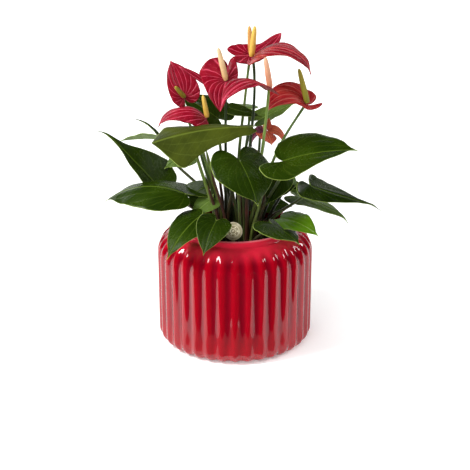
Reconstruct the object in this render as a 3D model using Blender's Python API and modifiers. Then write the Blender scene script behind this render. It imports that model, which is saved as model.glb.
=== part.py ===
# Potted anthurium: a fluted ceramic cover pot with a nursery pot, potting soil, a plant tag, and
# an anthurium made of separate leaf blades, petioles, spathes, spadices and flower stems.
# Units are metres, +Z is up, and the origin is the centre of the cover pot's flat underside.
# The front of the plant faces -Y.
import math

import bmesh
import bpy
from mathutils import Vector

MM = 0.001
GAP = 0.3 * MM                     # clearance between pieces that touch

# Cover pot
POT_RADIUS = 91 * MM               # on the crests of the flutes
POT_HEIGHT = 142 * MM
POT_WALL = 6 * MM
POT_FLOOR = 8 * MM
POT_MOUTH_RADIUS = 62.5 * MM
POT_LIP_WALL = 5 * MM
POT_FOOT_ROUND = 15 * MM
POT_SHOULDER_ROUND = 30 * MM
FLUTES = 36
FLUTE_DEPTH = 2.4 * MM
FLUTE_STEPS = 3                    # facets round each flute

# Nursery pot, a standard 12 cm size
NURSERY_RIM_RADIUS = 60 * MM
NURSERY_BASE_RADIUS = 43 * MM
NURSERY_HEIGHT = 120 * MM
NURSERY_WALL = 1.5 * MM
NURSERY_COLLAR = 14 * MM           # height of the wider band under the rim
DRAIN_HOLES = 6
DRAIN_HOLE_RADIUS = 3.5 * MM
ROUND_STEPS = 40

# Soil and crown
SOIL_TOP = 128 * MM
SOIL_DROP = 4 * MM                 # how much lower the soil is at its edge
CROWN_SIZE = (8 * MM, 7 * MM, 6 * MM)

# Plant tag
TAG_PLACE = (-2 * MM, -50 * MM, 149 * MM)
TAG_TILT = 14                      # degrees that the tag leans back
TAG_RADIUS = 10.3 * MM
TAG_THICKNESS = 2 * MM
STAKE_WIDTH = 5 * MM
STAKE_THICKNESS = 1.2 * MM

# Plant tissue
BLADE_THICKNESS = 1.0 * MM
BLADE_STEPS = 10                   # cells from the notch round to the tip
BLADE_CELLS = 2                    # cells from the midrib to the edge
FAN_SHARE = 0.3                    # share of the outline that fans out from the attachment
STEM_SIDES = 2                     # bevel resolution: 8 sides
STEM_POINTS = 9
SPADIX_RADIUS = 3.3 * MM

# Half outlines from the notch to the tip: distance from the midrib in half widths, then place
# along the midrib in lobe lengths behind the attachment and in blade lengths ahead of it.
OUTLINES = dict(
    leaf=[(0.00, 0.00), (0.13, -0.55), (0.36, -0.97), (0.66, -0.92), (0.90, -0.40), (1.00, 0.10),
          (0.97, 0.25), (0.84, 0.42), (0.62, 0.60), (0.36, 0.76), (0.13, 0.87), (0.03, 0.95),
          (0.00, 1.00)],
    tailed=[(0.00, 0.00), (0.13, -0.55), (0.36, -0.97), (0.66, -0.92), (0.92, -0.45), (1.00, 0.02),
            (0.90, 0.18), (0.68, 0.35), (0.43, 0.50), (0.22, 0.64), (0.10, 0.77), (0.04, 0.90),
            (0.00, 1.00)],
    drooped=[(0.00, 0.00), (0.12, -0.80), (0.22, -0.30), (0.30, 0.08), (0.46, 0.22), (0.56, 0.38),
             (0.74, 0.56), (0.98, 0.72), (0.93, 0.80), (0.60, 0.88), (0.30, 0.94), (0.10, 0.98),
             (0.00, 1.00)],
    spathe=[(0.00, 0.00), (0.10, -0.60), (0.34, -1.00), (0.66, -0.88), (0.91, -0.30), (1.00, 0.14),
            (0.97, 0.32), (0.84, 0.52), (0.62, 0.70), (0.36, 0.84), (0.13, 0.93), (0.00, 1.00)],
    domed=[(0.00, 0.00), (0.08, -0.62), (0.34, -1.00), (0.70, -0.90), (0.95, -0.48), (1.00, -0.15),
           (0.88, 0.16), (0.70, 0.40), (0.50, 0.62), (0.28, 0.82), (0.10, 0.94), (0.00, 1.00)],
)

# Each leaf, in millimetres and degrees. "at" is where the petiole meets the blade, "root" is
# where the petiole leaves the soil. Heading is counter-clockwise from +X, pitch is upwards.
# Bend turns the midrib up along its length, turn swings it, roll lifts its right side, fold
# and cup lift both halves, lift raises the basal lobes, curl lifts the last part of the tip, skew
# draws the right half back, and left is the left half's width as a share of the right half's.
# Sway is how much the top of the stalk follows the blade's slope.
LEAVES = [
    dict(at=(-57, -25, 185), root=(-24, -14), heading=168, length=102, half=36, lobe=17,
         pitch=21, bend=-62, roll=12, fold=-13, cup=-4, lift=10, skew=-0.5),
    dict(at=(-93, 30, 178), root=(-26, 6), heading=180, length=94, half=34, lobe=24, pitch=50,
         bend=-4, roll=36, fold=8, cup=2, curl=-36, lift=40, left=0.5, outline="tailed"),
    dict(at=(16, -25, 263), root=(-10, -21), heading=-167, length=111, half=37, lobe=10,
         pitch=4, bend=-20, roll=20, twist=14, fold=-26, cup=-4, outline="drooped"),
    dict(at=(5, -50, 232), root=(7, -33), heading=-60, length=58, half=35, lobe=20, pitch=-32,
         bend=-30, fold=-4, cup=-10, left=1.25),
    dict(at=(53, -55, 233), root=(22, -25), heading=10, length=84, half=33, lobe=18, pitch=16,
         bend=-22, roll=-24, twist=12, fold=8, cup=-6, lift=36, skew=-0.6, left=1.12),
    dict(at=(86, -15, 191), root=(33, -10), heading=-20, length=86, half=25, lobe=11, pitch=-14,
         bend=8, roll=-10, fold=-7, curl=-40, lift=60, outline="tailed"),
    dict(at=(72, 10, 170), root=(30, 8), heading=-30, length=72, half=17, lobe=12, pitch=-4,
         bend=-22, roll=-2, fold=-8, curl=-30),
    dict(at=(52, -37, 160), root=(30, -16), heading=-40, length=55, half=22, lobe=6, pitch=8,
         bend=-36, roll=-12, fold=4, cup=-8),
    dict(at=(42, -59, 153), root=(18, -42), heading=-40, length=44, half=26, lobe=7, pitch=-8,
         bend=-24, roll=6, fold=-4, cup=-4, left=0.42),
    dict(at=(-37, -46, 167), root=(-24, -32), heading=-127, length=72, half=26, lobe=10,
         pitch=-8, bend=-42, roll=8, fold=-4, cup=-8, left=0.78),
    dict(at=(-21, -64, 166), root=(-10, -44), heading=-110, length=48, half=19, lobe=8,
         pitch=-16, bend=-36, roll=14, fold=8, cup=-6, lift=-14),
    dict(at=(18, 80, 257), root=(5, 22), heading=165, length=36, half=16, lobe=8, pitch=8,
         bend=-20, roll=14, fold=-8, cup=-6),
    dict(at=(28, 46, 252), root=(20, 20), heading=26, length=52, half=15, lobe=10, pitch=22,
         bend=-10, roll=-16, fold=4, cup=6),
    dict(at=(-20, 34, 257), root=(-8, 24), heading=152, length=54, half=23, lobe=14, pitch=30,
         bend=-14, roll=34, fold=10, cup=-4),
    dict(at=(-84, 60, 224), root=(-18, 24), heading=164, length=60, half=20, lobe=14, pitch=2,
         bend=-16, roll=-20, fold=10),
]

# Each flower, in the same terms. "spadix" is its length, pitch and heading.
FLOWERS = [
    dict(at=(-58, 22, 285), root=(-15, 12), heading=142, length=44, half=20, lobe=10, pitch=62,
         bend=4, roll=34, fold=20, cup=-8, spadix=(24, 40, -120), left=0.8),
    dict(at=(-10, 7, 307), root=(-11, -2), heading=-100, length=45, half=31, lobe=28, pitch=-18,
         bend=-36, roll=4, fold=14, cup=-6, lift=60, left=0.42, spadix=(38, 76, -160),
         outline="domed"),
    dict(at=(18, 52, 324), root=(3, 14), heading=28, length=48, half=11, lobe=26, pitch=-4,
         bend=50, roll=-24, fold=0, cup=-4, lift=40, spadix=(32, 86, 180), left=1.8),
    dict(at=(20, 12, 332), root=(11, 5), heading=-12, length=82, half=26, lobe=5, pitch=46,
         bend=-118, roll=-4, fold=2, cup=-6, spadix=(34, 84, 0), sway=0.15),
    dict(at=(37, -26, 305), root=(25, -4), heading=-144, length=74, half=20, lobe=7, pitch=46,
         bend=-104, roll=4, fold=4, cup=-6, spadix=(34, 80, 160), sway=0.1),
    dict(at=(80, 10, 280), root=(25, 2), heading=-158, length=54, half=24, lobe=19, pitch=40,
         bend=-90, roll=44, fold=4, cup=-6, lift=66, left=0.34, spadix=(40, 74, 160)),
    dict(at=(-33, 3, 265), root=(-14, -12), heading=-176, length=66, half=13, lobe=3, pitch=50,
         bend=-120, roll=8, fold=-4, cup=-10, lift=50, spadix=(26, 80, 180), left=1.1),
    dict(at=(35, 27, 243), root=(20, 8), heading=-76, length=30, half=13, lobe=10, pitch=10,
         bend=-50, roll=10, fold=-10, cup=-10, lift=20, spadix=(9, 60, -120)),
]

DEFAULTS = dict(bend=0, turn=0, roll=0, twist=0, fold=0, cup=0, lift=0, curl=0, wave=0, skew=0,
                left=1, sway=1)


def clear_scene():
    for thing in list(bpy.data.objects):
        bpy.data.objects.remove(thing, do_unlink=True)


def new_collection(name):
    collection = bpy.data.collections.new(name)
    bpy.context.scene.collection.children.link(collection)
    return collection


def new_material(name, colour, roughness):
    material = bpy.data.materials.new(name)
    material.use_nodes = True
    shader = material.node_tree.nodes["Principled BSDF"]
    shader.inputs["Base Color"].default_value = (*colour, 1)
    shader.inputs["Roughness"].default_value = roughness
    shader.inputs["Metallic"].default_value = 0
    material.diffuse_color = (*colour, 1)
    return material


def add_object(name, data, material, collection, place=(0, 0, 0)):
    thing = bpy.data.objects.new(name, data)
    thing.location = place
    data.materials.append(material)
    collection.objects.link(thing)
    return thing


def mesh_from(bm, name, smooth=True):
    bmesh.ops.remove_doubles(bm, verts=bm.verts, dist=0.00001)
    bmesh.ops.dissolve_degenerate(bm, edges=bm.edges, dist=0.00001)
    bmesh.ops.recalc_face_normals(bm, faces=bm.faces)
    mesh = bpy.data.meshes.new(name)
    bm.to_mesh(mesh)
    bm.free()
    if smooth:
        mesh.shade_smooth()
        mesh.set_sharp_from_angle(angle=math.radians(40))
    return mesh


def arc(centre, radius, start, end, steps):
    points = []
    for step in range(steps + 1):
        angle = math.radians(start + (end - start) * step / steps)
        points.append((centre[0] + radius * math.cos(angle), centre[1] + radius * math.sin(angle)))
    return points


def turned(name, profile, steps, ridge=None):
    # Spins a profile of (radius, height) points round Z. "ridge" gives the depth of the flutes
    # at each point of the profile.
    bm = bmesh.new()
    depth = bm.verts.layers.float.new("flute_depth")
    rim = []
    for number, (radius, height) in enumerate(profile):
        vert = bm.verts.new((radius, 0, height))
        vert[depth] = ridge[number] if ridge else 0
        rim.append(vert)
    for first, second in zip(rim, rim[1:]):
        bm.edges.new((first, second))
    bmesh.ops.spin(bm, geom=bm.verts[:] + bm.edges[:], cent=(0, 0, 0), axis=(0, 0, 1),
                   angle=math.tau, steps=steps, use_merge=True)
    for vert in bm.verts:
        if vert[depth] > 0:
            angle = math.atan2(vert.co.y, vert.co.x) + math.pi / 2
            radius = math.hypot(vert.co.x, vert.co.y)
            sunk = vert[depth] * (0.5 - 0.5 * math.cos(FLUTES * angle))
            scale = (radius - sunk) / radius
            vert.co.x *= scale
            vert.co.y *= scale
    return mesh_from(bm, name)


def pot_profile():
    lip_outer = POT_MOUTH_RADIUS + POT_LIP_WALL
    lip_round = POT_LIP_WALL / 2
    shoulder = (POT_RADIUS - POT_SHOULDER_ROUND, POT_HEIGHT - 6 * MM - POT_SHOULDER_ROUND)
    foot = (POT_RADIUS - POT_FOOT_ROUND, POT_FOOT_ROUND)
    inner_radius = POT_RADIUS - POT_WALL - FLUTE_DEPTH
    inside = [(0, POT_FLOOR)]
    inside += arc((inner_radius - 8 * MM, POT_FLOOR + 8 * MM), 8 * MM, -90, 0, 2)
    inside += arc((shoulder[0], shoulder[1]), inner_radius - shoulder[0], 0, 66, 3)
    inside.append((POT_MOUTH_RADIUS, POT_HEIGHT - 7 * MM))
    lip = arc((POT_MOUTH_RADIUS + lip_round, POT_HEIGHT - lip_round), lip_round, 180, 0, 4)
    outside = [(lip_outer + 0.4 * MM, POT_HEIGHT - 5 * MM)]
    outside += arc(shoulder, POT_SHOULDER_ROUND, 72, 0, 5)
    outside += arc(foot, POT_FOOT_ROUND, 0, -90, 3)
    fades = [0.0, 0.25, 0.55, 0.85, 1.0, 1.0, 1.0, 1.0, 1.0, 0.8, 0.0]
    ridge = [0] * (len(inside) + len(lip))
    ridge += [FLUTE_DEPTH * share for share in fades]
    ridge.append(0)
    return inside + lip + outside + [(0, 0)], ridge


def cover_pot(collection):
    profile, ridge = pot_profile()
    mesh = turned("cover_pot", profile, FLUTES * FLUTE_STEPS, ridge)
    glaze = new_material("pot_glaze", (0.42, 0.006, 0.018), 0.1)
    return add_object("cover_pot", mesh, glaze, collection)


def nursery_profile():
    # Returns the inner side and the outer side, both from the base up.
    base = POT_FLOOR + GAP
    top = base + NURSERY_HEIGHT
    collar = top - NURSERY_COLLAR
    slope = (NURSERY_RIM_RADIUS - 3 * MM - NURSERY_BASE_RADIUS) / (collar - base)
    inner = [(NURSERY_BASE_RADIUS - NURSERY_WALL, base + NURSERY_WALL),
             (NURSERY_BASE_RADIUS - NURSERY_WALL + slope * (collar - base), collar),
             (NURSERY_RIM_RADIUS - NURSERY_WALL - 0.8 * MM, collar + 2 * MM),
             (NURSERY_RIM_RADIUS - NURSERY_WALL - 0.6 * MM, top)]
    outer = [(NURSERY_BASE_RADIUS, base),
             (NURSERY_BASE_RADIUS + slope * (collar - base), collar - 1 * MM),
             (NURSERY_RIM_RADIUS - 1 * MM, collar),
             (NURSERY_RIM_RADIUS, top - 2 * MM),
             (NURSERY_RIM_RADIUS, top)]
    return inner, outer


def grow_pot(collection, cutters):
    inner, outer = nursery_profile()
    base = outer[0][1]
    profile = [(0, inner[0][1])] + inner + outer[::-1] + [(0, base)]
    plastic = new_material("grow_pot_plastic", (0.03, 0.03, 0.032), 0.55)
    pot = add_object("grow_pot", turned("grow_pot", profile, ROUND_STEPS), plastic, collection)
    for number in range(DRAIN_HOLES):
        angle = math.tau * number / DRAIN_HOLES
        reach = NURSERY_BASE_RADIUS - 12 * MM
        bpy.ops.mesh.primitive_cylinder_add(
            vertices=12, radius=DRAIN_HOLE_RADIUS, depth=10 * MM,
            location=(reach * math.cos(angle), reach * math.sin(angle), base))
        hole = bpy.context.object
        hole.name = f"drain_hole_{number + 1}"
        hole.hide_render = True
        hole.display_type = "WIRE"
        for owner in list(hole.users_collection):
            owner.objects.unlink(hole)
        cutters.objects.link(hole)
        cut = pot.modifiers.new(hole.name, "BOOLEAN")
        cut.operation = "DIFFERENCE"
        cut.solver = "EXACT"
        cut.object = hole
    return pot


def soil_height(radius):
    edge = NURSERY_RIM_RADIUS - NURSERY_WALL
    return SOIL_TOP - SOIL_DROP * (radius / edge) ** 2


def potting_soil(collection):
    inner, _ = nursery_profile()
    bottom_radius, bottom = inner[0]
    collar_radius, collar = inner[1]
    band_radius, band = inner[2]
    reach = band_radius - GAP
    surface = [(reach * share, soil_height(reach * share)) for share in (0, 0.35, 0.7, 1)]
    sides = [(band_radius - GAP, band + 1 * MM),
             (collar_radius - GAP, collar + 0.5 * MM),
             (bottom_radius - 2 * GAP, bottom + GAP),
             (0, bottom + GAP)]
    soil = new_material("potting_soil", (0.025, 0.016, 0.01), 0.95)
    return add_object("potting_soil", turned("potting_soil", surface + sides, ROUND_STEPS),
                      soil, collection)


def plant_crown(collection):
    bm = bmesh.new()
    bmesh.ops.create_uvsphere(bm, u_segments=14, v_segments=8, radius=1)
    bmesh.ops.scale(bm, vec=CROWN_SIZE, verts=bm.verts)
    fibre = new_material("crown_fibre", (0.09, 0.06, 0.03), 0.85)
    place = (0, 0, SOIL_TOP + CROWN_SIZE[2] + GAP)
    return add_object("plant_crown", mesh_from(bm, "plant_crown"), fibre, collection, place)


def plant_tag(collection):
    holder = bpy.data.objects.new("plant_tag", None)
    holder.location = TAG_PLACE
    holder.rotation_euler = (math.radians(-TAG_TILT), 0, 0)
    collection.objects.link(holder)
    bm = bmesh.new()
    bmesh.ops.create_cone(bm, cap_ends=True, segments=36, radius1=TAG_RADIUS,
                          radius2=TAG_RADIUS, depth=TAG_THICKNESS)
    card = new_material("tag_card", (0.42, 0.39, 0.28), 0.6)
    disc = add_object("tag_disc", mesh_from(bm, "tag_disc"), card, collection)
    disc.rotation_euler = (math.pi / 2, 0, 0)
    disc.parent = holder
    drop = TAG_PLACE[2] - soil_height(-TAG_PLACE[1]) - 0.8 * MM
    length = drop / math.cos(math.radians(TAG_TILT)) + 4 * MM
    bm = bmesh.new()
    bmesh.ops.create_cube(bm, size=1)
    bmesh.ops.scale(bm, vec=(STAKE_WIDTH, STAKE_THICKNESS, length), verts=bm.verts)
    wood = new_material("tag_stake", (0.5, 0.4, 0.25), 0.7)
    back = (TAG_THICKNESS + STAKE_THICKNESS) / 2 + GAP
    stake = add_object("tag_stake", mesh_from(bm, "tag_stake", False), wood, collection,
                       (0, back, 4 * MM - length / 2))
    stake.parent = holder


def along(outline, share):
    # A smooth curve through the outline's points, at a share of the way along it.
    last = len(outline) - 1
    place = min(max(share, 0), 1) * last
    number = min(int(place), last - 1)
    part = place - number
    p1 = Vector(outline[number])
    p2 = Vector(outline[number + 1])
    p0 = Vector(outline[max(number - 1, 0)])
    p3 = Vector(outline[min(number + 2, last)])
    return (p1 + 0.5 * part * ((p2 - p0) + part * ((2 * p0 - 5 * p1 + 4 * p2 - p3)
                               + part * (3 * (p1 - p2) + p3 - p0))))


def flat_point(share, side, shape):
    # Place on the flat blade: x to the right of the midrib and y along it from the attachment.
    edge = along(OUTLINES[shape["outline"]], share)
    reach = shape["length"] if edge.y > 0 else shape["lobe"]
    rim = Vector((edge.x * shape["half"], edge.y * reach))
    start = max(0, (share - FAN_SHARE) / (1 - FAN_SHARE)) * shape["length"]
    spine = Vector((0, start))
    point = spine.lerp(rim, abs(side))
    across = point.x if side >= 0 else -point.x * shape["left"]
    return Vector((across, point.y + shape["skew"] * across)) * MM


def midrib(reach, shape):
    # Place and directions of the midrib at a distance from the attachment, growing along +X.
    length = shape["length"] * MM
    steps = 12
    place = Vector((0, 0, 0))
    for step in range(steps):
        forward, _, _ = directions(reach * (step + 0.5) / steps, length, shape)
        place += forward * reach / steps
    return place, directions(reach, length, shape)


def directions(reach, length, shape):
    share = reach / length
    pitch = shape["pitch"]
    if share < 0:
        pitch -= shape["lift"] * math.sqrt(min(1, -reach / (shape["lobe"] * MM)))
        swing = 0
    else:
        pitch += shape["bend"] * share + shape["curl"] * max(0, (share - 0.7) / 0.3) ** 2
        swing = math.radians(shape["turn"] * share)
    pitch = math.radians(pitch)
    roll = math.radians(shape["roll"] + shape["twist"] * max(0, share))
    forward = Vector((math.cos(pitch) * math.cos(swing), math.cos(pitch) * math.sin(swing),
                      math.sin(pitch)))
    level = Vector((math.sin(swing), -math.cos(swing), 0))
    above = level.cross(forward)
    right = level * math.cos(roll) + above * math.sin(roll)
    return forward, right, right.cross(forward)


def bent_point(flat, shape):
    place, (_, right, above) = midrib(flat.y, shape)
    share = abs(flat.x) / (shape["half"] * MM)
    fold = math.radians(shape["fold"] + shape["cup"] * share)
    ripple = shape["wave"] * MM * share ** 2 * math.sin(9 * flat.y / (shape["length"] * MM))
    return (place + right * flat.x * math.cos(fold)
            + above * (abs(flat.x) * math.sin(fold) + ripple))


def blade(name, shape, material, collection):
    bm = bmesh.new()
    bmesh.ops.create_grid(bm, x_segments=BLADE_STEPS, y_segments=2 * BLADE_CELLS, size=1)
    for vert in bm.verts:
        share = (vert.co.x + 1) / 2
        vert.co = bent_point(flat_point(share, vert.co.y, shape), shape)
    thing = add_object(name, mesh_from(bm, name), material, collection,
                       Vector(shape["at"]) * MM)
    thing.rotation_euler = (0, 0, math.radians(shape["heading"]))
    skin = thing.modifiers.new("thickness", "SOLIDIFY")
    skin.thickness = BLADE_THICKNESS
    skin.offset = 0
    return thing


def normal_at_base(shape):
    # The blade's upward direction where the stalk meets it, in world directions.
    _, (_, _, above) = midrib(0, shape)
    turn = math.radians(shape["heading"])
    return Vector((above.x * math.cos(turn) - above.y * math.sin(turn),
                   above.x * math.sin(turn) + above.y * math.cos(turn), above.z))


def stalk(name, shape, thickness, material, collection):
    # A tapering tube from the soil to just under the blade.
    root = Vector((*shape["root"], 0)) * MM
    root.z = soil_height(root.length) + 0.6 * MM
    above = normal_at_base(shape)
    end = Vector(shape["at"]) * MM - above * (BLADE_THICKNESS / 2 + 1.2 * MM)
    rise = (end - root).length
    lean = (above * shape["sway"] + Vector((0, 0, 0.8))).normalized()
    bends = [root, root + Vector((0, 0, 0.45)) * rise, end - lean * rise * 0.28, end]
    curve = bpy.data.curves.new(name, "CURVE")
    curve.dimensions = "3D"
    curve.bevel_depth = thickness
    curve.bevel_resolution = STEM_SIDES
    curve.use_fill_caps = True
    spline = curve.splines.new("POLY")
    spline.points.add(STEM_POINTS - 1)
    for number, point in enumerate(spline.points):
        t = number / (STEM_POINTS - 1)
        s = 1 - t
        place = (bends[0] * s ** 3 + bends[1] * 3 * s * s * t + bends[2] * 3 * s * t * t
                 + bends[3] * t ** 3)
        point.co = (*(place - root), 1)
        point.radius = 1.15 - 0.3 * t
    return add_object(name, curve, material, collection, root)


def spadix(name, shape, material, collection):
    length, pitch, heading = shape["spadix"]
    length *= MM
    radius = SPADIX_RADIUS * min(1, 0.45 + length / (60 * MM))
    profile = [(0, 0), (0.7 * radius, 0), (radius, 0.12 * length), (0.95 * radius, 0.45 * length),
               (0.75 * radius, 0.8 * length), (0.42 * radius, 0.96 * length), (0, length)]
    mesh = turned(name, profile[::-1], 10)
    thing = add_object(name, mesh, material, collection)
    pitch = math.radians(pitch)
    heading = math.radians(heading)
    rise = Vector((math.cos(pitch) * math.cos(heading), math.cos(pitch) * math.sin(heading),
                   math.sin(pitch)))
    above = normal_at_base(shape)
    tilt = math.sqrt(max(0, 1 - rise.dot(above) ** 2))
    clear = BLADE_THICKNESS / 2 + radius * (0.3 + tilt) + GAP
    thing.location = Vector(shape["at"]) * MM + above * clear
    thing.rotation_mode = "QUATERNION"
    thing.rotation_quaternion = rise.to_track_quat("Z", "Y")
    return thing


def leaves(collection):
    green = new_material("leaf_green", (0.045, 0.09, 0.018), 0.35)
    stem_green = new_material("petiole_green", (0.09, 0.13, 0.03), 0.45)
    for number, leaf in enumerate(LEAVES, 1):
        shape = {**DEFAULTS, "outline": "leaf", **leaf}
        blade(f"leaf_{number:02d}_blade", shape, green, collection)
        stalk(f"leaf_{number:02d}_petiole", shape, 1.6 * MM, stem_green, collection)


def flowers(collection):
    red = new_material("spathe_red", (0.4, 0.01, 0.04), 0.3)
    yellow = new_material("spadix_yellow", (0.6, 0.4, 0.08), 0.6)
    stem_green = new_material("flower_stem_green", (0.06, 0.09, 0.025), 0.45)
    for number, flower in enumerate(FLOWERS, 1):
        shape = {**DEFAULTS, "outline": "spathe", **flower}
        blade(f"flower_{number}_spathe", shape, red, collection)
        spadix(f"flower_{number}_spadix", shape, yellow, collection)
        stalk(f"flower_{number}_stem", shape, 1.5 * MM, stem_green, collection)


def main():
    clear_scene()
    collection = new_collection("potted_anthurium")
    cutters = new_collection("cutters")
    cover_pot(collection)
    grow_pot(collection, cutters)
    potting_soil(collection)
    plant_crown(collection)
    plant_tag(collection)
    leaves(collection)
    flowers(collection)


main()
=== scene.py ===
import math
import random

import bmesh
import bpy
from mathutils import Matrix, Vector, noise


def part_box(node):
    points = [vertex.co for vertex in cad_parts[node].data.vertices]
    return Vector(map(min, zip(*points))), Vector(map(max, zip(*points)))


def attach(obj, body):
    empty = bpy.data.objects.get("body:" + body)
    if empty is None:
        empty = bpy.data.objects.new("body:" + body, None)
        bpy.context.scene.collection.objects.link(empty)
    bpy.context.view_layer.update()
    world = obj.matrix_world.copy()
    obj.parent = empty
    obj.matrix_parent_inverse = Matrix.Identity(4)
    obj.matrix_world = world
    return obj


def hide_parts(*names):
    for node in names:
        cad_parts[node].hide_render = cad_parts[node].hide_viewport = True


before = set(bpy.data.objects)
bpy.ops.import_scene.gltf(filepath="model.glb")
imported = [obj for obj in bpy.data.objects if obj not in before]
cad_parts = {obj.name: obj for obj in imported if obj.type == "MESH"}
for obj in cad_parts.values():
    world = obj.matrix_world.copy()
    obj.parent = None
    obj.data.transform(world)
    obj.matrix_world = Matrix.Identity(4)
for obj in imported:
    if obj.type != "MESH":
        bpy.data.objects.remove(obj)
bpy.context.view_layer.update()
print("frame loaded,", len(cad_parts), "nodes")

mm = 0.001
view = bpy.context.scene.view_settings
view.view_transform = "Standard"


# shader wiring
class Wire:
    # one socket, so that sums on it read as sums
    def __init__(self, tree, socket):
        self.tree = tree
        self.socket = socket

    def math(self, operation, *others, first=None):
        node = self.tree.nodes.new("ShaderNodeMath")
        node.operation = operation
        parts = [self if first is None else first, *others]
        for slot, part in zip(node.inputs, parts):
            plug(self.tree, slot, part)
        return Wire(self.tree, node.outputs[0])

    def __add__(self, other):
        return self.math("ADD", other)

    def __radd__(self, other):
        return self.math("ADD", other)

    def __sub__(self, other):
        return self.math("SUBTRACT", other)

    def __rsub__(self, other):
        return self.math("SUBTRACT", self, first=other)

    def __mul__(self, other):
        return self.math("MULTIPLY", other)

    def __rmul__(self, other):
        return self.math("MULTIPLY", other)

    def __pow__(self, other):
        return self.math("POWER", other)

    def __abs__(self):
        return self.math("ABSOLUTE")


def plug(tree, slot, value):
    if isinstance(value, Wire):
        tree.links.new(value.socket, slot)
    else:
        slot.default_value = value


class Finish:
    # the node tree of one material
    def __init__(self, name):
        self.material = bpy.data.materials.new(name)
        self.material.use_nodes = True
        self.tree = self.material.node_tree
        self.shader = self.tree.nodes["Principled BSDF"]

    def node(self, kind, settings, values, out=0):
        node = self.tree.nodes.new(kind)
        for key, setting in settings.items():
            setattr(node, key, setting)
        for key, value in values.items():
            plug(self.tree, node.inputs[key], value)
        return Wire(self.tree, node.outputs[out])

    def place(self):
        return self.node("ShaderNodeTexCoord", {}, {}, "Object")

    def attribute(self, name, out="Fac"):
        return self.node("ShaderNodeAttribute", {"attribute_name": name}, {}, out)

    def stretched(self, scale):
        return self.node("ShaderNodeMapping", {}, {"Vector": self.place(), "Scale": scale})

    def axes(self, vector):
        return [self.node("ShaderNodeSeparateXYZ", {}, {"Vector": vector}, out) for out in range(3)]

    def noise(self, vector, scale, detail=3, rough=0.5):
        return self.node("ShaderNodeTexNoise", {}, {"Vector": vector, "Scale": scale,
                                                    "Detail": detail, "Roughness": rough}, 0)

    def net(self, vector, scale, width):
        # the lines between the cells of an uneven mesh
        gap = self.node("ShaderNodeTexVoronoi", {"feature": "DISTANCE_TO_EDGE"},
                        {"Vector": vector, "Scale": scale})
        return self.ease(gap, width, 0.0)

    def ease(self, value, low, high, start=0, end=1):
        return self.node("ShaderNodeMapRange", {"interpolation_type": "SMOOTHSTEP"},
                         {0: value, 1: low, 2: high, 3: start, 4: end})

    def mix(self, factor, first, second):
        if not isinstance(first, Wire):
            first = (*first, 1)
        if not isinstance(second, Wire):
            second = (*second, 1)
        return self.node("ShaderNodeMix", {"data_type": "RGBA"}, {0: factor, 6: first, 7: second}, 2)

    def bump(self, height, distance, strength=1.0):
        return self.node("ShaderNodeBump", {}, {"Height": height, "Distance": distance,
                                                "Strength": strength})

    def set(self, **values):
        for key, value in values.items():
            plug(self.tree, self.shader.inputs[key.replace("_", " ")], value)
        return self.material


# stage: camera, lights, floor
stageLook = {
    "cameraPlace": (0, -1.196, 0.582),
    "cameraDip": 20.9,             # degrees below level
    "lens": 83.7,
    "worldStrength": 0.02,
    "worldColour": (0.9, 0.95, 1.0),
    "paperHalf": 9,
    "paper": ((0.93, 0.93, 0.93), (0.95, 0.95, 0.95)),
    "paperGlow": (0.28, 0.75),     # near the pot and far off
    "paperGlowReach": (0.2, 1.6),  # squared distances between which the glow changes
    "roomRadius": 8.8,
    "roomGlow": 1.05,
    "cards": [
        # seen only in reflections: name, middle, size, tilt, glow, shade
        ("blackCard", (0, -4.157, 0.001), (8, 8), 0, 0, 0.004),
        ("greyCard", (0, -0.127, 0.001), (0.17, 0.06), 0, 0.22, 0.1),
        ("backCloth", (0, 1.6, 0.75), (2.6, 0.5), 80, 0.8, 0.3),
    ],
    "lamps": [
        # name, place, aimed at, size, watts
        ("keyLeft", (-0.80, -0.34, 0.98), (0, 0, 0.15), (0.34, 0.34), 13),
        ("fillRight", (1, 0.03, 0.76), (0, 0, 0.15), (0.30, 0.30), 5),
        ("stripBack", (-0.9, 1.4, 0.75), (0, 0, 0.2), (1.4, 0.7), 6),
        ("faceFill", (-0.5, -1.4, 1.0), (0, 0, 0.2), (0.7, 0.7), 6),
    ],
    "quietLamps": ["faceFill"],    # give light but aren't mirrored
    "sky": {"tilt": (14, -12), "angle": 80, "strength": 1.9},
}


def makeCamera():
    data = bpy.data.cameras.new("camera")
    data.lens = stageLook["lens"]
    data.sensor_width = 36
    camera = bpy.data.objects.new("camera", data)
    camera.location = stageLook["cameraPlace"]
    camera.rotation_euler = (math.radians(90 - stageLook["cameraDip"]), 0, 0)
    bpy.context.collection.objects.link(camera)
    bpy.context.scene.camera = camera


def makeLamps():
    for name, place, aim, size, watts in stageLook["lamps"]:
        data = bpy.data.lights.new(name, "AREA")
        data.shape = "RECTANGLE"
        data.size, data.size_y = size
        data.energy = watts
        lamp = bpy.data.objects.new(name, data)
        lamp.location = place
        lamp.rotation_euler = (Vector(aim) - Vector(place)).to_track_quat("-Z", "Y").to_euler()
        lamp.visible_glossy = name not in stageLook["quietLamps"]
        bpy.context.collection.objects.link(lamp)
    sky = stageLook["sky"]
    data = bpy.data.lights.new("skyCloth", "SUN")
    data.angle = math.radians(sky["angle"])
    data.energy = sky["strength"]
    lamp = bpy.data.objects.new("skyCloth", data)
    lamp.rotation_euler = [math.radians(turn) for turn in sky["tilt"]] + [0]
    lamp.visible_glossy = False
    bpy.context.collection.objects.link(lamp)
    world = bpy.data.worlds.new("studio")
    world.use_nodes = True
    bpy.context.scene.world = world
    back = world.node_tree.nodes["Background"]
    back.inputs["Color"].default_value = (*stageLook["worldColour"], 1)
    back.inputs["Strength"].default_value = stageLook["worldStrength"]


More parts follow.
